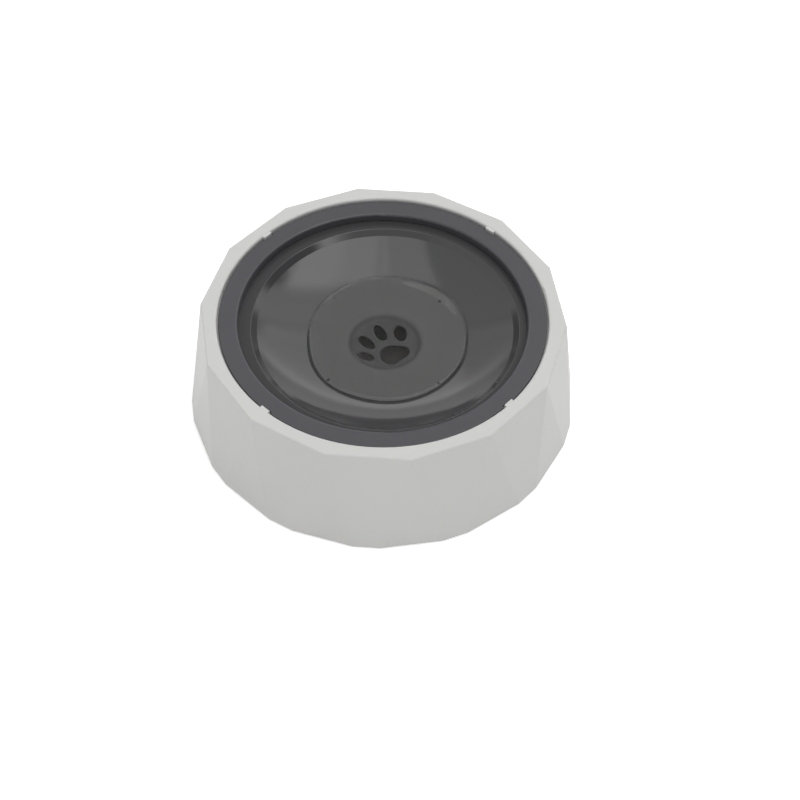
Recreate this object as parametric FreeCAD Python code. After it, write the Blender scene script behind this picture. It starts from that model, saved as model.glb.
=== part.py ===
import FreeCAD, Part
import math
import os
from FreeCAD import Vector

# No-spill water bowl for a dog, in millimetres.
# A faceted white bowl holds a grey float that is pushed up under a grey cover ring.
# Water comes up only through the paw-shaped outlet in the middle of the float.
# The origin is at the middle of the footprint on the floor, +Z is up, and -Y is the front.

# Recess in the rim that takes the cover ring
recess_radius = 101.4
recess_edge_rounding = 1.4
ledge_width = 3.9
ledge_edge_rounding = 0.6
ledge_wall = 2.4
cover_drop = 1.7

# Faceted outside of the bowl
side_count = 14
bowl_height = 73.5
skirt_edge_height = 1.0
rim_width = 10.9
skirt_flare = 9.7
first_corner_angle = 98.56
base_corner_spread = 9.0
skirt_wall = 2.3
rim_wall = 2.4
facet_rounding = 1.3

# Water basin
basin_lean = 3.0
basin_floor_height = 6.5
basin_wall = 2.2
basin_corner_rounding = 10.0

# Gussets that brace the rim against the inside of the skirt
gusset_thickness = 1.6
gusset_depth = 47.0

# Keys on the recess wall that pass through notches in the cover ring
key_count = 4
key_first_angle = 47.3
key_width = 6.3
key_reach = 1.6
key_top_drop = 0.3
key_rounding = 0.5
key_side_gap = 0.7
key_tip_gap = 0.8

# Rubber feet in sockets under the basin floor
foot_count = 4
foot_first_angle = 47.0
foot_inset = 20.5
foot_radius = 8.5
foot_rounding = 1.0
foot_dimple_radius = 4.5
foot_dimple_depth = 0.6
socket_gap = 0.1
socket_wall = 1.8
socket_edge_height = 2.0

# Cover ring
cover_gap = 0.8
cover_width = 12.8
cover_thickness = 2.2
cover_fall = 0.4
cover_edge_rounding = 0.7
lip_rounding = 1.5
cover_skirt_wall = 1.8
cover_skirt_depth = 5.8
cover_skirt_draft = 0.3
spigot_gap = 0.6
spigot_wall = 1.6
spigot_depth = 3.0

# Float: its dish, raised border and down-turned rim
float_gap = 0.5
float_side_gap = 2.0
float_drift = (1.5, -0.8)
float_turn = -1.8
float_plate = 2.0
float_rim_depth = 7.5
float_edge_rounding = 0.9
border_inset = 10.0
border_width = 3.6
border_depth = 3.0
border_rounding = 0.8
dish_edge_rounding = 1.5
dish_depth = 14.9
dish_level_radius = 23.4
well_depth = 2.6
well_slope_width = 3.0
well_rounding = 3.0

# Paw-shaped outlet in the well, drawn with its own up direction.
# A toe is an oval: its middle across and up, half length, half width and lean to the right.
# The heel is drawn round three circles: middle across and up, and radius.
paw_angle = 45.0
outlet_rounding = 0.4
toes = [
    (3.8, 8.4, 6.9, 3.5, 20.0),
    (12.9, -0.2, 6.7, 4.0, 36.0),
    (-7.9, 8.2, 6.6, 3.5, 0.0),
    (-16.0, 0.3, 5.6, 3.0, -22.0),
]
heel_circles = [
    (-5.3, -11.5, 5.3),
    (3.4, -12.2, 4.6),
    (-3.0, -9.6, 7.6),
]

# Sealed air chamber under the dish
chamber_width = 24.9
chamber_wall = 1.8
chamber_drop = 1.0
chamber_draft = 1.5
chamber_inner_rounding = 1.0
chamber_outer_rounding = 4.0
chamber_seam_gap = 0.1
stud_count = 4
stud_first_angle = 0.0
stud_inset = 16.0
stud_radius = 3.0
stud_height = 2.0

# Air vents through the dish, just inside the chamber
vent_count = 4
vent_first_angle = 45.0
vent_inset = 6.8
vent_radius = 0.8

# How far a cutting tool runs past the faces that it opens
overrun = 1.0

# Radii that follow from the sizes above
side_step = 360.0 / side_count
rim_corner_radius = recess_radius + rim_width
base_corner_radius = rim_corner_radius + skirt_flare
ledge_radius = recess_radius - ledge_width
basin_floor_radius = ledge_radius - basin_lean
foot_circle_radius = basin_floor_radius - foot_inset
lip_radius = recess_radius - cover_width
float_radius = basin_floor_radius - float_side_gap
border_radius = float_radius - border_inset
dish_edge_radius = border_radius - border_width
chamber_inner_radius = dish_edge_radius - chamber_width
vent_circle_radius = chamber_inner_radius - vent_inset
stud_circle_radius = chamber_inner_radius + stud_inset

# Heights that follow from the sizes above
cover_top_height = bowl_height - cover_drop
ledge_height = cover_top_height - cover_thickness
ledge_under_height = ledge_height - ledge_wall
rim_under_height = bowl_height - rim_wall
floor_under_height = basin_floor_height - basin_wall
lip_height = cover_top_height - cover_fall
cover_skirt_height = cover_top_height - cover_skirt_depth
float_top_height = cover_skirt_height - float_gap
dish_edge_height = float_top_height - border_depth
dish_level_height = dish_edge_height - dish_depth
well_height = dish_level_height - well_depth
chamber_bottom_height = well_height - float_plate - chamber_drop
dish_span = dish_edge_radius - dish_level_radius
dish_curve_radius = (dish_span ** 2 + dish_depth ** 2) / (2.0 * dish_depth)

origin = Vector(0, 0, 0)
up = Vector(0, 0, 1)


def at_angle(radius, angle, height):
    """Point at this radius, angle in degrees and height."""
    turn = math.radians(angle)
    return Vector(radius * math.cos(turn), radius * math.sin(turn), height)


def around(shape, count, first_angle):
    """Copies of a shape spread evenly round the vertical axis."""
    copies = []
    for index in range(count):
        copy = shape.copy()
        copy.rotate(origin, up, first_angle + index * 360.0 / count)
        copies.append(copy)
    return copies


def section_wire(corners):
    """Closed outline of (radius, height, rounding) corners in the plane of the axis."""
    points = [Vector(radius, 0, height) for radius, height, rounding in corners]
    stretches = []
    for index, corner in enumerate(corners):
        here = points[index]
        rounding = corner[2]
        if rounding == 0:
            stretches.append((here, None, here))
            continue
        back = (points[index - 1] - here).normalize()
        ahead = (points[(index + 1) % len(points)] - here).normalize()
        half_angle = back.getAngle(ahead) / 2.0
        reach = rounding / math.tan(half_angle)
        inward = (back + ahead).normalize()
        middle = here + inward * (rounding / math.sin(half_angle) - rounding)
        stretches.append((here + back * reach, middle, here + ahead * reach))
    edges = []
    for index, (first, middle, last) in enumerate(stretches):
        if middle is not None:
            edges.append(Part.Arc(first, middle, last).toShape())
        following = stretches[(index + 1) % len(stretches)][0]
        if last.distanceToPoint(following) > 1e-6:
            edges.append(Part.LineSegment(last, following).toShape())
    return Part.Wire(edges)


def turned(corners):
    """Solid turned from an outline of (radius, height, rounding) corners."""
    return Part.Face(section_wire(corners)).revolve(origin, up, 360)


def circle_edges(shape, radius, height):
    """Round edges about the axis with this radius and height."""
    found = []
    for edge in shape.Edges:
        box = edge.BoundBox
        if box.ZLength < 0.01 and abs(box.ZMax - height) < 0.01 and abs(box.XMax - radius) < 0.01:
            found.append(edge)
    return found


def faceted_body(rim_radius, rim_height, base_radius, base_height):
    """Closed body with a triangle under each rim corner and a trapezium under each rim side."""
    rim = []
    base = []
    for index in range(side_count):
        angle = first_corner_angle + index * side_step
        rim.append(at_angle(rim_radius, angle, rim_height))
        base.append(at_angle(base_radius, angle - base_corner_spread, base_height))
        base.append(at_angle(base_radius, angle + base_corner_spread, base_height))
    outlines = [rim, base[::-1]]
    for index in range(side_count):
        following = (index + 1) % side_count
        left, right = base[2 * index], base[2 * index + 1]
        outlines.append([rim[index], left, right])
        outlines.append([rim[index], right, base[2 * following], rim[following]])
    faces = [Part.Face(Part.makePolygon(outline + outline[:1])) for outline in outlines]
    shell = Part.makeShell(faces)
    shell.sewShape()
    return Part.makeSolid(shell)


def basin_radius(height):
    """Inner radius of the basin wall, which leans out evenly towards the ledge."""
    share = (height - basin_floor_height) / (ledge_height - basin_floor_height)
    return basin_floor_radius + share * (ledge_radius - basin_floor_radius)


def dish_height(radius):
    """Height of the dish surface, which leaves the well level and curves up to the border."""
    run = radius - dish_level_radius
    return dish_level_height + dish_curve_radius - math.sqrt(dish_curve_radius ** 2 - run ** 2)


def make_skirt():
    """Faceted skirt and flat rim with its gussets, recess wall and keys."""
    outside = faceted_body(rim_corner_radius, bowl_height, base_corner_radius, skirt_edge_height)
    soft_edges = []
    for edge in outside.Edges:
        highest = max(vertex.Z for vertex in edge.Vertexes)
        if highest > skirt_edge_height + 0.01:
            soft_edges.append(edge)
    outside = outside.makeFillet(facet_rounding, soft_edges)
    hollow = faceted_body(rim_corner_radius - skirt_wall, rim_under_height,
                          base_corner_radius - skirt_wall, skirt_edge_height)
    collar_outer = recess_radius + basin_wall
    collar = turned([
        (0, ledge_height, 0),
        (collar_outer, ledge_height, 0),
        (collar_outer, bowl_height, 0),
        (0, bowl_height, 0),
    ])
    recess = turned([
        (0, 0, 0),
        (recess_radius, 0, 0),
        (recess_radius, bowl_height + overrun, 0),
        (0, bowl_height + overrun, 0),
    ])
    void = hollow.cut(collar)
    skirt = outside.cut(void).cut(recess)
    rim_edges = circle_edges(skirt, recess_radius, bowl_height)
    skirt = skirt.makeFillet(recess_edge_rounding, rim_edges)

    gusset_outline = Part.makePolygon([
        Vector(collar_outer, 0, rim_under_height),
        Vector(base_corner_radius, 0, rim_under_height),
        Vector(base_corner_radius, 0, rim_under_height - gusset_depth),
        Vector(rim_corner_radius - skirt_wall, 0, rim_under_height - gusset_depth),
        Vector(collar_outer, 0, rim_under_height),
    ])
    gusset = Part.Face(gusset_outline).extrude(Vector(0, gusset_thickness, 0))
    gusset.translate(Vector(0, -gusset_thickness / 2.0, 0))
    gussets = [void.common(copy) for copy in around(gusset, side_count, first_corner_angle)]

    key_height = bowl_height - key_top_drop - ledge_height
    key = Part.makeBox(key_reach + basin_wall / 2.0, key_width, key_height,
                       Vector(recess_radius - key_reach, -key_width / 2.0, ledge_height))
    tip_edges = []
    for edge in key.Edges:
        near_tip = edge.BoundBox.XMax < recess_radius - key_reach + 0.01
        if near_tip and edge.BoundBox.ZMax > ledge_height + 0.01:
            tip_edges.append(edge)
    key = key.makeFillet(key_rounding, tip_edges)
    keys = around(key, key_count, key_first_angle)
    return skirt.fuse(gussets + keys).removeSplitter()


def make_basin():
    """Round basin whose ledge closes the bottom of the recess, with sockets for the feet."""
    basin = turned([
        (0, floor_under_height, 0),
        (basin_radius(floor_under_height) + basin_wall, floor_under_height,
         basin_corner_rounding + basin_wall),
        (basin_radius(ledge_under_height) + basin_wall, ledge_under_height, 0),
        (recess_radius + basin_wall, ledge_under_height, 0),
        (recess_radius + basin_wall, ledge_height, 0),
        (ledge_radius, ledge_height, ledge_edge_rounding),
        (basin_floor_radius, basin_floor_height, basin_corner_rounding),
        (0, basin_floor_height, 0),
    ])
    socket_height = floor_under_height - socket_edge_height
    socket_inner = foot_radius + socket_gap
    socket = Part.makeCylinder(socket_inner + socket_wall, socket_height + basin_wall / 2.0,
                               Vector(foot_circle_radius, 0, socket_edge_height))
    bore = Part.makeCylinder(socket_inner, socket_height,
                             Vector(foot_circle_radius, 0, socket_edge_height))
    sockets = around(socket.cut(bore), foot_count, foot_first_angle)
    return basin.fuse(sockets).removeSplitter()


def make_feet():
    """Soft discs that stand on the floor and seat against the underside of the basin."""
    foot = turned([
        (0, foot_dimple_depth, 0),
        (foot_dimple_radius, foot_dimple_depth, 0),
        (foot_dimple_radius + foot_dimple_depth, 0, 0),
        (foot_radius, 0, foot_rounding),
        (foot_radius, floor_under_height, 0),
        (0, floor_under_height, 0),
    ])
    foot.translate(Vector(foot_circle_radius, 0, 0))
    return around(foot, foot_count, foot_first_angle)


def make_cover():
    """Ring that drops into the rim recess, with a rounded lip, inner skirt and spigot."""
    outer = recess_radius - cover_gap
    spigot_outer = ledge_radius - spigot_gap
    skirt_outer = lip_radius + cover_skirt_wall
    ring = turned([
        (outer, ledge_height, 0),
        (outer, cover_top_height, cover_edge_rounding),
        (lip_radius, lip_height, lip_rounding),
        (lip_radius + cover_skirt_draft, cover_skirt_height, 0),
        (skirt_outer, cover_skirt_height, 0),
        (skirt_outer, ledge_height, 0),
        (spigot_outer - spigot_wall, ledge_height, 0),
        (spigot_outer - spigot_wall, ledge_height - spigot_depth, 0),
        (spigot_outer, ledge_height - spigot_depth, 0),
        (spigot_outer, ledge_height, 0),
    ])
    notch_inner = recess_radius - key_reach - key_tip_gap
    notch_width = key_width + 2.0 * key_side_gap
    notch = Part.makeBox(recess_radius - notch_inner, notch_width, cover_thickness + 2.0 * overrun,
                         Vector(notch_inner, -notch_width / 2.0, ledge_height - overrun))
    return ring.cut(Part.makeCompound(around(notch, key_count, key_first_angle)))


def toe_prism(toe, height, depth):
    """Upright prism on a toe's oval."""
    across, along, half_length, half_width, lean = toe
    oval = Part.Ellipse(origin, half_length, half_width)
    prism = Part.Face(Part.Wire(oval.toShape())).extrude(Vector(0, 0, depth))
    prism.rotate(origin, up, 90.0 - lean)
    prism.translate(Vector(across, along, height))
    return prism


def heel_prism(height, depth):
    """Upright prism on the outline drawn round the heel's circles."""
    circles = [(Vector(across, along, 0), radius) for across, along, radius in heel_circles]
    tangents = []
    for index, (centre, radius) in enumerate(circles):
        next_centre, next_radius = circles[(index + 1) % len(circles)]
        run = next_centre - centre
        heading = math.atan2(run.y, run.x)
        normal = heading - math.acos((radius - next_radius) / run.Length)
        outward = Vector(math.cos(normal), math.sin(normal), 0)
        tangents.append((centre + outward * radius, next_centre + outward * next_radius))
    edges = []
    for index, (centre, radius) in enumerate(circles):
        arrival = tangents[index - 1][1]
        departure = tangents[index][0]
        middle = centre + ((arrival - centre) + (departure - centre)).normalize() * radius
        edges.append(Part.Arc(arrival, middle, departure).toShape())
        edges.append(Part.LineSegment(departure, tangents[index][1]).toShape())
    prism = Part.Face(Part.Wire(edges)).extrude(Vector(0, 0, depth))
    prism.translate(Vector(0, 0, height))
    return prism


def float_top_wire():
    """Upper line of the float from its outer edge to the axis."""
    dish_middle_radius = (dish_edge_radius + dish_level_radius) / 2.0
    outer_edge = Vector(float_radius, 0, float_top_height)
    border_top = Vector(border_radius, 0, float_top_height)
    dish_edge = Vector(dish_edge_radius, 0, dish_edge_height)
    dish_middle = Vector(dish_middle_radius, 0, dish_height(dish_middle_radius))
    dish_end = Vector(dish_level_radius, 0, dish_level_height)
    well_edge = Vector(dish_level_radius - well_slope_width, 0, well_height)
    return Part.Wire([
        Part.LineSegment(outer_edge, border_top).toShape(),
        Part.LineSegment(border_top, dish_edge).toShape(),
        Part.Arc(dish_edge, dish_middle, dish_end).toShape(),
        Part.LineSegment(dish_end, well_edge).toShape(),
        Part.LineSegment(well_edge, Vector(0, 0, well_height)).toShape(),
    ])


def outlet_prisms(height, depth):
    """Four toes and the heel of the paw outlet, turned to where the paw points."""
    prisms = [heel_prism(height, depth)]
    prisms += [toe_prism(toe, height, depth) for toe in toes]
    for prism in prisms:
        prism.rotate(origin, up, paw_angle)
    return prisms


def make_float_dish():
    """Dish plate with its raised border, down-turned rim, paw outlet and vents."""
    plate = float_top_wire().makeOffset2D(float_plate, 2, True, True)
    plate = plate.revolve(origin, up, 360)
    rim = turned([
        (float_radius - float_plate, float_top_height - float_plate / 2.0, 0),
        (float_radius, float_top_height - float_plate / 2.0, 0),
        (float_radius, float_top_height - float_rim_depth, 0),
        (float_radius - float_plate, float_top_height - float_rim_depth, 0),
    ])
    dish = plate.fuse(rim).removeSplitter()
    roundings = [
        (float_radius, float_top_height, float_edge_rounding),
        (border_radius, float_top_height, border_rounding),
        (dish_edge_radius, dish_edge_height, dish_edge_rounding),
        (dish_level_radius, dish_level_height, well_rounding),
        (dish_level_radius - well_slope_width, well_height, well_rounding),
    ]
    for radius, height, rounding in roundings:
        dish = dish.makeFillet(rounding, circle_edges(dish, radius, height))

    prisms = outlet_prisms(well_height - float_plate - overrun, float_plate + 2.0 * overrun)
    dish = dish.cut(Part.makeCompound(prisms))
    outlet_edges = []
    for edge in dish.Edges:
        box = edge.BoundBox
        level = box.ZLength < 0.01 and abs(box.ZMax - well_height) < 0.01
        if level and box.XMax < dish_level_radius - well_slope_width - well_rounding:
            outlet_edges.append(edge)
    dish = dish.makeFillet(outlet_rounding, outlet_edges)

    vent_depth = 2.0 * float_plate
    vent_foot = dish_height(vent_circle_radius) - vent_depth
    vent = Part.makeCylinder(vent_radius, vent_depth + overrun,
                             Vector(vent_circle_radius, 0, vent_foot))
    return dish.cut(Part.makeCompound(around(vent, vent_count, vent_first_angle)))


def make_float_chamber(dish):
    """Ring-shaped tray that closes against the underside of the dish and holds air."""
    outer = float_radius - float_plate - chamber_seam_gap
    seam_height = float_top_height - float_plate
    inner_top = dish_height(chamber_inner_radius) - float_plate / 2.0
    inner = chamber_inner_radius
    floor_top = chamber_bottom_height + chamber_wall
    tray = turned([
        (outer, seam_height, 0),
        (outer, seam_height - float_rim_depth, 0),
        (outer - chamber_draft, chamber_bottom_height, chamber_outer_rounding),
        (inner, chamber_bottom_height, chamber_inner_rounding),
        (inner, inner_top, 0),
        (inner + chamber_wall, inner_top, 0),
        (inner + chamber_wall, floor_top, 0),
        (outer - chamber_draft - chamber_wall, floor_top, chamber_outer_rounding - chamber_wall),
        (outer - chamber_wall, seam_height - float_rim_depth, 0),
        (outer - chamber_wall, seam_height, 0),
    ])
    stud = Part.makeCylinder(stud_radius, stud_height + chamber_wall / 2.0,
                             Vector(stud_circle_radius, 0, chamber_bottom_height - stud_height))
    tray = tray.fuse(around(stud, stud_count, stud_first_angle)).removeSplitter()
    return tray.cut(dish)


def as_floating(shape):
    """Turns and shifts a float piece to where the loose float lies in the basin."""
    placed = shape.copy()
    placed.rotate(origin, up, float_turn)
    placed.translate(Vector(float_drift[0], float_drift[1], 0))
    return placed


def main():
    """Writes each piece of the bowl to its own file."""
    dish = make_float_dish()
    pieces = {
        "bowl_skirt": make_skirt(),
        "bowl_basin": make_basin(),
        "cover_ring": make_cover(),
        "float_dish": as_floating(dish),
        "float_chamber": as_floating(make_float_chamber(dish)),
    }
    for index, foot in enumerate(make_feet()):
        pieces["foot_%d" % (index + 1)] = foot
    os.makedirs("parts", exist_ok=True)
    for name, shape in pieces.items():
        shape.exportStep("parts/%s.step" % name)


main()
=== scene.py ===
"""Looks for the no-spill water bowl: its moulded plastics, rubber feet, pool of water and stage."""

import math

import bmesh
import bpy
from bpy.props import FloatProperty, FloatVectorProperty, IntProperty, PointerProperty
from mathutils import Matrix, Vector


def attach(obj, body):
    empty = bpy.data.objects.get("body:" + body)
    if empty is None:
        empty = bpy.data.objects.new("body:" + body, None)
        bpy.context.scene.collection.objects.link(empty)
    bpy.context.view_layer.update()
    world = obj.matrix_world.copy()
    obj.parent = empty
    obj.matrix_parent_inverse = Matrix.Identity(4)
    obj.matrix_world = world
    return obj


bl_info = {
    "name": "No-Spill Water Bowl",
    "version": (1, 0, 0),
    "blender": (4, 5, 0),
    "location": "View3D > Sidebar > Water Bowl",
    "description": "Finishes the water bowl's pieces and sets the stage for them",
    "category": "Object",
}

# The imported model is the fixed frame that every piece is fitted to
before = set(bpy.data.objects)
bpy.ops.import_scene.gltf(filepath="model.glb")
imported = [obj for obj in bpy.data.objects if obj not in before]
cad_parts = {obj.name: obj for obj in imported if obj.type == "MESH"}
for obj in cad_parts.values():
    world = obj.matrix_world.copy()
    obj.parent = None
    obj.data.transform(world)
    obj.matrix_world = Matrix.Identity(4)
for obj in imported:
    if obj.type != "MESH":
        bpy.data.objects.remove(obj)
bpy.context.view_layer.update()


# Sizes and colours that a user would change

def colour_setting(name, description, default):
    """A colour that a user may change."""
    return FloatVectorProperty(name=name, description=description, default=default + (1.0,),
                               size=4, min=0.0, max=1.0, subtype="COLOR")


def share_setting(name, description, default):
    """A share from 0 to 1."""
    return FloatProperty(name=name, description=description, default=default,
                         min=0.0, max=1.0, subtype="FACTOR")


def length_setting(name, description, default):
    """A small length in metres."""
    return FloatProperty(name=name, description=description, default=default,
                         min=0.0, precision=6, unit="LENGTH")


class PlasticLook:
    """Settings that all the moulded pieces share."""

    roughness_drift: share_setting("Roughness Drift",
                                   "How far the roughness drifts over the piece", 0.04)
    shade_drift: share_setting("Shade Drift", "How far the colour drifts over the piece", 0.02)
    shade_patch: length_setting("Shade Patch", "Size of a patch of the drift", 0.05)
    grain_size: length_setting("Grain Size", "Size of the mould's fine grain", 0.0006)
    wave_size: length_setting("Wave Size", "Width of the wall's soft waves", 0.03)
    wave_depth: length_setting("Wave Depth", "Depth of the wall's soft waves", 0.00002)


class WATERBOWL_PG_bowl(PlasticLook, bpy.types.PropertyGroup):
    """Satin white plastic of the faceted bowl."""

    colour: colour_setting("Colour", "Colour of the bowl", (0.575, 0.575, 0.56))
    roughness: share_setting("Roughness", "Roughness of the bowl", 0.40)
    specular: share_setting("Specular", "Strength of the bowl's reflection", 0.35)
    grain_depth: length_setting("Grain Depth", "Depth of the mould's fine grain", 0.000006)


class WATERBOWL_PG_cover(PlasticLook, bpy.types.PropertyGroup):
    """Matt grey plastic of the cover ring."""

    colour: colour_setting("Colour", "Colour of the cover ring", (0.0625, 0.0615, 0.0695))
    roughness: share_setting("Roughness", "Roughness of the cover ring", 0.36)
    specular: share_setting("Specular", "Strength of the cover ring's reflection", 0.5)
    grain_depth: length_setting("Grain Depth", "Depth of the mould's fine grain", 0.00001)


class WATERBOWL_PG_float(PlasticLook, bpy.types.PropertyGroup):
    """Polished grey plastic of the float."""

    colour: colour_setting("Colour", "Colour of the float", (0.05, 0.05, 0.052))
    roughness: share_setting("Roughness", "Roughness of the float", 0.09)
    specular: share_setting("Specular", "Strength of the float's reflection", 0.5)
    grain_depth: length_setting("Grain Depth", "Depth of the mould's fine grain", 0.000001)
    # Painted light: under the pool the float is painted a paler colour that stands in for the light
    # the water keeps off it
    painted_pool_light_colour: colour_setting("Painted Pool Light", "Painted light under the pool", (0.145, 0.145, 0.146))
    wet_roughness: share_setting("Wet Roughness", "Roughness under the pool", 0.7)
    # Painted shade: in the well only this share of the painted pool light shows
    well_painted_light_share: share_setting("Well Painted Light Share", "Share of the painted pool light that shows in the well",
                              0.45)


class WATERBOWL_PG_feet(PlasticLook, bpy.types.PropertyGroup):
    """Dark rubber of the feet."""

    colour: colour_setting("Colour", "Colour of the feet", (0.03, 0.03, 0.031))
    roughness: share_setting("Roughness", "Roughness of the feet", 0.62)
    specular: share_setting("Specular", "Strength of the feet's reflection", 0.5)
    grain_depth: length_setting("Grain Depth", "Depth of the mould's fine grain", 0.00002)


class WATERBOWL_PG_pool(bpy.types.PropertyGroup):
    """Shallow pool of water that lies on the float."""

    level: length_setting("Level", "Height of the water above the floor", 0.0529)
    radius: length_setting("Radius", "Mean radius of the pool", 0.0507)
    edge_width: length_setting("Edge Width", "Width of the pool's rounded edge", 0.0019)
    edge_tuck: length_setting("Edge Tuck", "How far the edge draws back under itself", 0.0004)
    wetting: length_setting("Wetting", "How far the water reaches into the float", 0.00006)
    colour: colour_setting("Colour", "Tint of the water", (0.97, 0.965, 0.955))
    refraction: FloatProperty(name="Refraction", description="How strongly water bends light",
                              default=1.333, min=1.0, max=2.0)
    ripple_size: length_setting("Ripple Size", "Width of the faint ripples", 0.02)
    ripple_depth: length_setting("Ripple Depth", "Depth of the faint ripples", 0.00002)
    steps_around: IntProperty(name="Steps Around", description="Steps round the pool's edge",
                              default=192, min=24, max=720)
    edge_steps: IntProperty(name="Edge Steps", description="Steps over the pool's rounded edge",
                            default=10, min=4, max=40)


class WATERBOWL_PG_stage(bpy.types.PropertyGroup):
    """Camera, floor and studio light."""

    lens: FloatProperty(name="Lens", description="Focal length of the camera", default=76.85,
                        min=1.0, unit="CAMERA")
    distance: FloatProperty(name="Distance", description="From the camera to its target",
                            default=1.0681, min=0.1, unit="LENGTH", precision=4)
    elevation: FloatProperty(name="Elevation", description="Angle of the camera above the floor",
                             default=math.radians(49.25), unit="ROTATION")
    roll: FloatProperty(name="Roll", description="Roll of the camera about its own axis",
                        default=math.radians(0.31), unit="ROTATION")
    target_height: FloatProperty(name="Target Height", description="Height of the target",
                                 default=0.04067, unit="LENGTH", precision=5)
    shift_x: FloatProperty(name="Shift X", description="Sideways shift of the picture",
                           default=0.0218, precision=4)
    shift_y: FloatProperty(name="Shift Y", description="Upright shift of the picture",
                           default=-0.0629, precision=4)
    floor_colour: colour_setting("Floor Colour", "Colour of the floor", (0.93, 0.93, 0.93))
    floor_glow: FloatProperty(name="Floor Glow",
                              description="White added where the floor is seen, not where it lights",
                              default=0.33, min=0.0)
    light: FloatProperty(name="Light", description="Level of all the studio light",
                         default=1.0, min=0.0)


# Materials

def feed(tree, socket, value):
    """Gives a socket a value, or links it to the output of another node."""
    if isinstance(value, bpy.types.NodeSocket):
        tree.links.new(value, socket)
    else:
        socket.default_value = value


def node(tree, kind, inputs=None, **settings):
    """Adds a node, sets its fields, feeds its input sockets by name, and returns it."""
    made = tree.nodes.new(kind)
    for name, value in settings.items():
        setattr(made, name, value)
    for name, value in (inputs or {}).items():
        feed(tree, made.inputs[name], value)
    return made


def new_material(name):
    """A fresh material with its shader, its node tree and that tree's object coordinates."""
    material = bpy.data.materials.new(name)
    material.use_nodes = True
    tree = material.node_tree
    shader = tree.nodes["Principled BSDF"]
    place = node(tree, "ShaderNodeTexCoord").outputs["Object"]
    return material, shader, tree, place


def noise(tree, place, size, detail):
    """Noise with features of this size in metres."""
    return node(tree, "ShaderNodeTexNoise",
                {"Vector": place, "Scale": 1.0 / size, "Detail": detail}).outputs["Fac"]


def maths(tree, operation, *values):
    """Result of a Math node whose inputs are numbers or outputs of other nodes."""
    made = node(tree, "ShaderNodeMath", operation=operation)
    for socket, value in zip(made.inputs, values):
        feed(tree, socket, value)
    return made.outputs["Value"]


def vector_maths(tree, operation, *values):
    """A Vector Math node whose inputs are vectors or outputs of other nodes."""
    made = node(tree, "ShaderNodeVectorMath", operation=operation)
    for socket, value in zip(made.inputs, values):
        feed(tree, socket, value)
    return made


def rise(tree, value, low, high):
    """0 below low and 1 above high, with a smooth rise between."""
    return node(tree, "ShaderNodeMapRange", {"Value": value, "From Min": low, "From Max": high},
                interpolation_type="SMOOTHSTEP").outputs["Result"]


def between(tree, value, low, high, soft):
    """1 where the value is between low and high and 0 elsewhere, with soft edges."""
    return maths(tree, "SUBTRACT", rise(tree, value, low - soft, low + soft),
                 rise(tree, value, high - soft, high + soft))


def blend(tree, low, high, share):
    """Number that goes from low to high as the share goes from 0 to 1."""
    return node(tree, "ShaderNodeMapRange",
                {"Value": share, "To Min": low, "To Max": high}).outputs["Result"]


def colour_sockets(sockets):
    """The colour sockets of a Mix node, in order."""
    return [socket for socket in sockets if socket.type == "RGBA"]


def blend_colours(tree, first, second, share):
    """Colour that goes from the first to the second as the share goes from 0 to 1."""
    made = node(tree, "ShaderNodeMix", data_type="RGBA", blend_type="MIX")
    feed(tree, made.inputs[0], share)
    for socket, colour in zip(colour_sockets(made.inputs), (first, second)):
        feed(tree, socket, colour)
    return colour_sockets(made.outputs)[0]


def bump(tree, height, depth, **inputs):
    """Normal bent by a height map of this depth in metres."""
    return node(tree, "ShaderNodeBump", {"Height": height, "Strength": 1.0, "Distance": depth,
                                         **inputs}).outputs["Normal"]


# Where the float gets its painted light under the pool: the fade at its edge, the heights between
# which the float's upper side begins, and the radii over which painted shade on the well's slope
# takes part of it back
wet_fade = 0.0006
wet_heights = (0.0440, 0.0441)
well_painted_shade_radii = (0.0200, 0.0235)


def under_pool(tree, place, pool, well_painted_light_share):
    """Two masks: 1 under the whole pool, and the painted light mask, the same but with only a share
    in the well, which is painted shade on the well's slope.
    """
    centred = vector_maths(tree, "SUBTRACT", place, (float_centre[0], float_centre[1], 0.0))
    parts = node(tree, "ShaderNodeSeparateXYZ", {"Vector": centred.outputs["Vector"]}).outputs
    square = maths(tree, "ADD", maths(tree, "MULTIPLY", parts["X"], parts["X"]),
                   maths(tree, "MULTIPLY", parts["Y"], parts["Y"]))
    radius = maths(tree, "SQRT", square)
    angle = maths(tree, "ARCTAN2", parts["Y"], parts["X"])
    edge = pool.radius - pool.edge_width
    for count, height, heading in pool_swells:
        turn = maths(tree, "MULTIPLY_ADD", angle, float(count), -count * math.radians(heading))
        edge = maths(tree, "MULTIPLY_ADD", maths(tree, "COSINE", turn), height, edge)
    past_edge = rise(tree, maths(tree, "SUBTRACT", radius, edge), 0.0, wet_fade)
    upper = rise(tree, parts["Z"], *wet_heights)
    wet = maths(tree, "MULTIPLY", maths(tree, "SUBTRACT", 1.0, past_edge), upper)
    # Painted shade: inside the well only a share of the painted light shows
    out_of_well = rise(tree, radius, *well_painted_shade_radii)
    well_painted_shade = maths(tree, "MULTIPLY_ADD", out_of_well, 1.0 - well_painted_light_share, well_painted_light_share)
    return wet, maths(tree, "MULTIPLY", wet, well_painted_shade)


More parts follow.
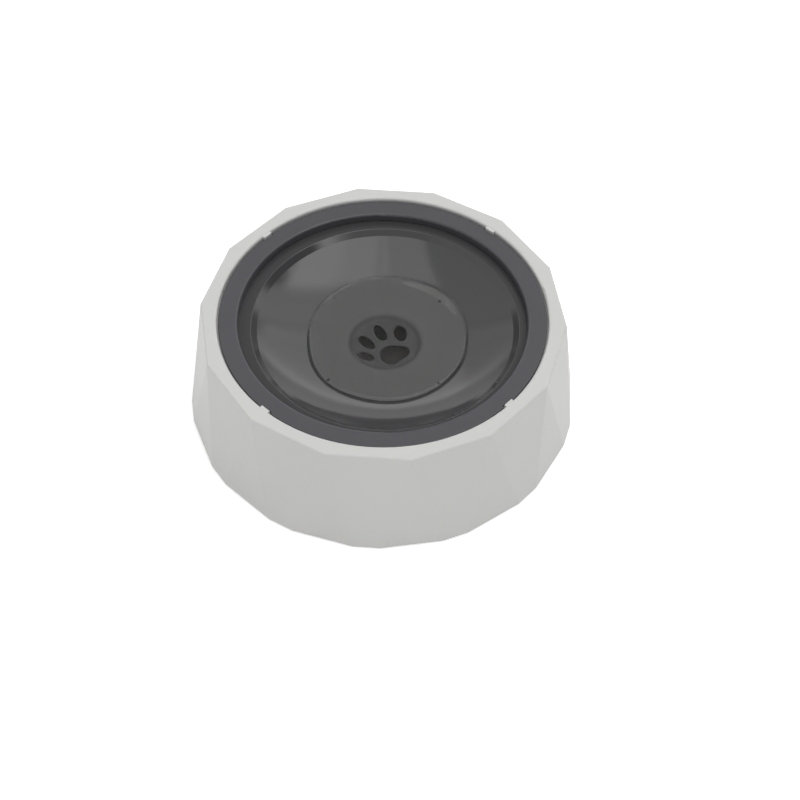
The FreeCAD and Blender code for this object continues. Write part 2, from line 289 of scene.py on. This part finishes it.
def plastic_material(name, look, pool=None):
    """Moulded plastic: a slow drift of shade and roughness, soft waves and a fine grain, and painted
    light under the pool when one is given.
    """
    material, shader, tree, place = new_material(name)
    shades = []
    for factor in (1.0 - look.shade_drift, 1.0 + look.shade_drift):
        shades.append([min(1.0, channel * factor) for channel in look.colour[:3]] + [1.0])
    colour = blend_colours(tree, *shades, noise(tree, place, look.shade_patch, 3.0))
    finish = blend(tree, max(0.0, look.roughness - look.roughness_drift),
                   min(1.0, look.roughness + look.roughness_drift),
                   noise(tree, place, look.shade_patch / 3.0, 5.0))
    # Painted light: a paler colour painted under the pool, standing in for the light that the water
    # keeps off the float
    if pool is not None:
        wet, painted_light_mask = under_pool(tree, place, pool, look.well_painted_light_share)
        colour = blend_colours(tree, colour, look.painted_pool_light_colour, painted_light_mask)
        finish = blend(tree, finish, look.wet_roughness, wet)
    waves = bump(tree, noise(tree, place, look.wave_size, 1.0), look.wave_depth)
    grain = bump(tree, noise(tree, place, look.grain_size, 2.0), look.grain_depth, Normal=waves)
    feed(tree, shader.inputs["Base Color"], colour)
    feed(tree, shader.inputs["Roughness"], finish)
    feed(tree, shader.inputs["Normal"], grain)
    shader.inputs["Specular IOR Level"].default_value = look.specular
    return material


def dress(node_names, material):
    """Puts a material on carried-over pieces."""
    for name in node_names:
        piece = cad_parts[name]
        for slot in piece.material_slots:
            slot.material = material
        if not piece.material_slots:
            raise RuntimeError("%s has no material slot" % name)


# The pool

# The float's upper side: radii and heights of its well, of the level ring round that and of its
# edge, and the rounding of the well's corners
well_radius, well_height = 0.0204, 0.0450
level_radius, level_height = 0.0234, 0.0476
edge_radius, edge_height = 0.0789, 0.0625
well_rounding = 0.003
float_centre = (0.0015, -0.0008)


def float_profile():
    """Height of the float's upper side at any radius from its middle, as a function."""
    rounding = well_rounding
    span, depth = edge_radius - level_radius, edge_height - level_height
    curve_radius = (span ** 2 + depth ** 2) / (2.0 * depth)
    slope = math.atan2(level_height - well_height, level_radius - well_radius)
    reach = rounding * math.tan(slope / 2.0)

    def height(radius):
        foot = radius - (well_radius - reach)
        top = (level_radius + reach) - radius
        if foot <= 0.0:
            return well_height
        if foot <= rounding * math.sin(slope):
            return well_height + rounding - math.sqrt(rounding ** 2 - foot ** 2)
        if top > rounding * math.sin(slope):
            return well_height + (radius - well_radius) * math.tan(slope)
        if top > 0.0:
            return level_height - rounding + math.sqrt(rounding ** 2 - top ** 2)
        run = radius - level_radius
        return level_height + curve_radius - math.sqrt(curve_radius ** 2 - run ** 2)

    return height


# Swells of the pool's edge: how many round the edge, height in metres and heading in degrees
pool_swells = (
    (1, 0.00262, 52.0),
    (2, 0.00094, 64.0),
    (4, 0.00051, 41.0),
    (6, 0.00029, -22.0),
)
# Rings of the pool's flat top, as shares of its radius, and of its underside, in metres
top_shares = (0.05, 0.25, 0.45, 0.6, 0.75, 0.86, 0.93)
underside_radii = (0.0455, 0.042, 0.038, 0.034, 0.030, 0.027, 0.0245, 0.0240, 0.0234, 0.0229,
                   0.0225, 0.0213, 0.0208, 0.0202, 0.0193, 0.012, 0.003)


def pool_radius(pool, angle):
    """Radius of the pool's edge at this angle."""
    radius = pool.radius
    for count, height, heading in pool_swells:
        radius += height * math.cos(count * (angle - math.radians(heading)))
    return radius


def make_pool(pool):
    """Closed body of water: a flat top, a rounded edge and an underside that follows the float."""
    float_height = float_profile()
    mesh = bmesh.new()
    count = pool.steps_around
    rings = []

    def ring(place):
        """One ring of points. place gives radius and height for an edge radius."""
        points = []
        for index in range(count):
            angle = 2.0 * math.pi * index / count
            radius, height = place(pool_radius(pool, angle))
            points.append(mesh.verts.new((float_centre[0] + radius * math.cos(angle),
                                          float_centre[1] + radius * math.sin(angle), height)))
        rings.append(points)

    for share in top_shares:
        ring(lambda edge, share=share: (share * (edge - pool.edge_width), pool.level))
    for index in range(pool.edge_steps + 1):
        turn = 0.5 * math.pi * index / pool.edge_steps

        def shoulder(edge, turn=turn):
            middle = 0.5 * (pool.level + float_height(edge - pool.edge_tuck))
            radius = edge - pool.edge_width * (1.0 - math.sin(turn))
            return radius, middle + (pool.level - middle) * math.cos(turn)

        ring(shoulder)
    tuck_steps = pool.edge_steps // 2
    for index in range(1, tuck_steps + 1):
        turn = 0.5 * math.pi * index / tuck_steps

        def tuck(edge, turn=turn):
            foot = float_height(edge - pool.edge_tuck) - pool.wetting
            middle = 0.5 * (pool.level + float_height(edge - pool.edge_tuck))
            radius = edge - pool.edge_tuck * (1.0 - math.cos(turn))
            return radius, middle - (middle - foot) * math.sin(turn)

        ring(tuck)
    for radius in underside_radii:
        ring(lambda edge, radius=radius: (radius, float_height(radius) - pool.wetting))

    for inner, outer in zip(rings, rings[1:]):
        for index in range(count):
            following = (index + 1) % count
            mesh.faces.new((inner[index], outer[index], outer[following], inner[following]))
    mesh.faces.new(rings[0])
    mesh.faces.new(rings[-1][::-1])
    bmesh.ops.recalc_face_normals(mesh, faces=mesh.faces)
    data = bpy.data.meshes.new("pool")
    mesh.to_mesh(data)
    mesh.free()
    data.polygons.foreach_set("use_smooth", [True] * len(data.polygons))
    piece = bpy.data.objects.new("pool", data)
    bpy.context.scene.collection.objects.link(piece)
    return piece


def water_material(pool):
    """Clear water with the faintest tint and ripple."""
    material, shader, tree, place = new_material("water")
    shader.inputs["Base Color"].default_value = pool.colour
    shader.inputs["Roughness"].default_value = 0.0
    shader.inputs["IOR"].default_value = pool.refraction
    shader.inputs["Transmission Weight"].default_value = 1.0
    ripple = noise(tree, place, pool.ripple_size, 1.0)
    feed(tree, shader.inputs["Normal"], bump(tree, ripple, pool.ripple_depth))
    return material


# The stage

floor_reach = 6.0


def make_floor(stage):
    """Wide pale floor, with white added where it is seen and none where it lights."""
    mesh = bmesh.new()
    corners = [(-1, -1), (1, -1), (1, 1), (-1, 1)]
    mesh.faces.new([mesh.verts.new((floor_reach * x, floor_reach * y, 0.0)) for x, y in corners])
    data = bpy.data.meshes.new("floor")
    mesh.to_mesh(data)
    mesh.free()
    floor = bpy.data.objects.new("floor", data)
    bpy.context.scene.collection.objects.link(floor)
    material, shader, tree, place = new_material("floor_paint")
    shader.inputs["Base Color"].default_value = stage.floor_colour
    shader.inputs["Roughness"].default_value = 0.9
    shader.inputs["Specular IOR Level"].default_value = 0.1
    ray = node(tree, "ShaderNodeLightPath").outputs
    seen = maths(tree, "MAXIMUM", ray["Is Camera Ray"],
                 maths(tree, "MAXIMUM", ray["Is Glossy Ray"], ray["Is Transmission Ray"]))
    glow = node(tree, "ShaderNodeEmission", {"Strength": blend(tree, 0.0, stage.floor_glow, seen)})
    both = node(tree, "ShaderNodeAddShader")
    tree.links.new(shader.outputs["BSDF"], both.inputs[0])
    tree.links.new(glow.outputs["Emission"], both.inputs[1])
    tree.links.new(both.outputs["Shader"], tree.nodes["Material Output"].inputs["Surface"])
    data.materials.append(material)


# Soft panels overhead: name, from and to along X, then along Y, as parts of a direction of
# length 1, the softness of their edges along X and Y, and their brightness
panels = (
    ("window_core", 0.28, 0.60, -0.45, 0.30, 0.06, 0.08, 2.90),
    ("window_middle", 0.02, 0.28, -0.45, 0.30, 0.06, 0.08, 2.50),
    ("window_left", -0.28, 0.02, -0.45, 0.30, 0.03, 0.08, 1.75),
    ("ceiling_left", -0.95, -0.28, -0.45, 0.60, 0.03, 0.08, 0.82),
    ("ceiling_right", 0.20, 0.95, 0.30, 0.62, 0.06, 0.08, 1.45),
    ("ceiling_back", -0.28, 0.20, 0.30, 0.62, 0.03, 0.08, 0.32),
    ("back_low", -0.28, 0.60, 0.80, 1.20, 0.05, 0.05, 1.50),
    ("back_right", 0.12, 0.60, 0.62, 0.80, 0.05, 0.05, 1.45),
    ("back_middle", -0.13, 0.12, 0.62, 0.80, 0.04, 0.05, 0.30),
    ("back_left", -0.28, -0.13, 0.62, 0.80, 0.04, 0.05, 1.10),
    ("back_far_left", -0.95, -0.28, 0.60, 1.20, 0.05, 0.05, 0.92),
    ("front", -0.95, 0.95, -1.20, -0.45, 0.05, 0.08, 0.55),
)
# Low walls all round: heading in degrees from +X and brightness
walls = (
    (0.0, 0.05),
    (45.0, 0.18),
    (90.0, 0.92),
    (135.0, 0.05),
    (180.0, 0.05),
    (225.0, 0.40),
    (270.0, 0.80),
    (315.0, 0.30),
)
# Lowest height of the panels and highest of the walls, as parts of a direction of length 1,
# their softness, how far a wall reaches to either side of its heading and how softly it ends
overhead_start, overhead_soft = 0.30, 0.05
wall_top, wall_soft = 0.35, 0.12
wall_reach, wall_side_soft = math.radians(30.0), 0.12
# More than any part of a direction, for a light that has no end on that side
no_end = 2.0


def make_world(stage):
    """Studio of soft light: pale walls all round and soft panels overhead."""
    world = bpy.data.worlds.new("studio")
    world.use_nodes = True
    tree = world.node_tree
    heading = node(tree, "ShaderNodeTexCoord").outputs["Generated"]
    parts = node(tree, "ShaderNodeSeparateXYZ", {"Vector": heading}).outputs
    overhead = between(tree, parts["Z"], overhead_start, no_end, overhead_soft)
    low = between(tree, parts["Z"], -no_end, wall_top, wall_soft)
    flat = vector_maths(tree, "MULTIPLY", heading, (1.0, 1.0, 0.0)).outputs["Vector"]
    compass = vector_maths(tree, "NORMALIZE", flat).outputs["Vector"]
    total = 0.0
    for name, left, right, front, back, soft_x, soft_y, brightness in panels:
        across = between(tree, parts["X"], left, right, soft_x)
        along = between(tree, parts["Y"], front, back, soft_y)
        share = maths(tree, "MULTIPLY", maths(tree, "MULTIPLY", across, along), overhead)
        total = maths(tree, "MULTIPLY_ADD", share, brightness * stage.light, total)
        total.node.label = name
    for angle, brightness in walls:
        turn = math.radians(angle)
        facing = vector_maths(tree, "DOT_PRODUCT", compass, (math.cos(turn), math.sin(turn), 0.0))
        lobe = between(tree, facing.outputs["Value"], math.cos(wall_reach), no_end,
                       wall_side_soft)
        share = maths(tree, "MULTIPLY", lobe, low)
        total = maths(tree, "MULTIPLY_ADD", share, brightness * stage.light, total)
    feed(tree, tree.nodes["Background"].inputs["Strength"], total)
    tree.nodes["Background"].inputs["Color"].default_value = (1.0, 1.0, 1.0, 1.0)
    bpy.context.scene.world = world


def make_camera(stage):
    """Camera that looks down at the front of the bowl."""
    data = bpy.data.cameras.new("camera")
    data.lens = stage.lens
    data.sensor_width = 36.0
    data.shift_x = stage.shift_x
    data.shift_y = stage.shift_y
    data.clip_start = 0.01
    data.clip_end = 50.0
    camera = bpy.data.objects.new("camera", data)
    tilt = math.radians(90.0) - stage.elevation
    turn = Matrix.Rotation(tilt, 4, "X") @ Matrix.Rotation(stage.roll, 4, "Z")
    back = Vector((0.0, -math.cos(stage.elevation), math.sin(stage.elevation)))
    target = Vector((0.0, 0.0, stage.target_height))
    camera.matrix_world = Matrix.Translation(target + stage.distance * back) @ turn
    bpy.context.scene.collection.objects.link(camera)
    bpy.context.scene.camera = camera


# Operators

class WATERBOWL_OT_finish_bowl(bpy.types.Operator):
    """Give the faceted bowl and its basin their satin white plastic"""

    bl_idname = "waterbowl.finish_bowl"
    bl_label = "Finish Bowl"

    def execute(self, context):
        look = context.scene.waterbowl_bowl
        dress(("bowl_skirt", "bowl_basin"), plastic_material("satin_white", look))
        return {"FINISHED"}


class WATERBOWL_OT_finish_cover(bpy.types.Operator):
    """Give the cover ring its matt grey plastic"""

    bl_idname = "waterbowl.finish_cover"
    bl_label = "Finish Cover Ring"

    def execute(self, context):
        look = context.scene.waterbowl_cover
        dress(("cover_ring",), plastic_material("matt_grey", look))
        return {"FINISHED"}


class WATERBOWL_OT_finish_float(bpy.types.Operator):
    """Give the float's dish and air chamber their polished grey plastic"""

    bl_idname = "waterbowl.finish_float"
    bl_label = "Finish Float"

    def execute(self, context):
        look = context.scene.waterbowl_float
        pool = context.scene.waterbowl_pool
        dress(("float_dish", "float_chamber"), plastic_material("polished_grey", look, pool))
        return {"FINISHED"}


class WATERBOWL_OT_finish_feet(bpy.types.Operator):
    """Give the feet their dark rubber"""

    bl_idname = "waterbowl.finish_feet"
    bl_label = "Finish Feet"

    def execute(self, context):
        look = context.scene.waterbowl_feet
        names = [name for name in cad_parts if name.startswith("foot_")]
        dress(names, plastic_material("dark_rubber", look))
        return {"FINISHED"}


class WATERBOWL_OT_add_pool(bpy.types.Operator):
    """Add the shallow pool of water that lies on the float"""

    bl_idname = "waterbowl.add_pool"
    bl_label = "Add Pool"

    def execute(self, context):
        pool = context.scene.waterbowl_pool
        piece = make_pool(pool)
        piece.data.materials.append(water_material(pool))
        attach(piece, "float")
        return {"FINISHED"}


class WATERBOWL_OT_add_stage(bpy.types.Operator):
    """Add the floor, the studio light and the camera"""

    bl_idname = "waterbowl.add_stage"
    bl_label = "Add Stage"

    def execute(self, context):
        stage = context.scene.waterbowl_stage
        make_floor(stage)
        make_world(stage)
        make_camera(stage)
        context.scene.view_settings.view_transform = "Standard"
        return {"FINISHED"}


class WATERBOWL_PT_main(bpy.types.Panel):
    """Panel with the steps that dress the bowl"""

    bl_idname = "WATERBOWL_PT_main"
    bl_label = "Water Bowl"
    bl_space_type = "VIEW_3D"
    bl_region_type = "UI"
    bl_category = "Water Bowl"

    def draw(self, context):
        for operator in operators:
            self.layout.operator(operator.bl_idname)


# Scene settings by name, the operators in the order in which they run, and what is registered
settings = {
    "waterbowl_bowl": WATERBOWL_PG_bowl,
    "waterbowl_cover": WATERBOWL_PG_cover,
    "waterbowl_float": WATERBOWL_PG_float,
    "waterbowl_feet": WATERBOWL_PG_feet,
    "waterbowl_pool": WATERBOWL_PG_pool,
    "waterbowl_stage": WATERBOWL_PG_stage,
}
operators = (
    WATERBOWL_OT_finish_bowl,
    WATERBOWL_OT_finish_cover,
    WATERBOWL_OT_finish_float,
    WATERBOWL_OT_finish_feet,
    WATERBOWL_OT_add_pool,
    WATERBOWL_OT_add_stage,
)
classes = tuple(settings.values()) + operators + (WATERBOWL_PT_main,)


def register():
    """Registers the classes and hangs the settings on the scene."""
    for cls in classes:
        bpy.utils.register_class(cls)
    for name, group in settings.items():
        setattr(bpy.types.Scene, name, PointerProperty(type=group))


def unregister():
    """Takes the settings and classes away again."""
    for name in settings:
        delattr(bpy.types.Scene, name)
    for cls in reversed(classes):
        bpy.utils.unregister_class(cls)


def main():
    """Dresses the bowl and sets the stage."""
    register()
    bpy.ops.waterbowl.finish_bowl()
    bpy.ops.waterbowl.finish_cover()
    bpy.ops.waterbowl.finish_float()
    bpy.ops.waterbowl.finish_feet()
    bpy.ops.waterbowl.add_pool()
    bpy.ops.waterbowl.add_stage()
    bpy.context.view_layer.update()


if __name__ == "__main__":
    main()
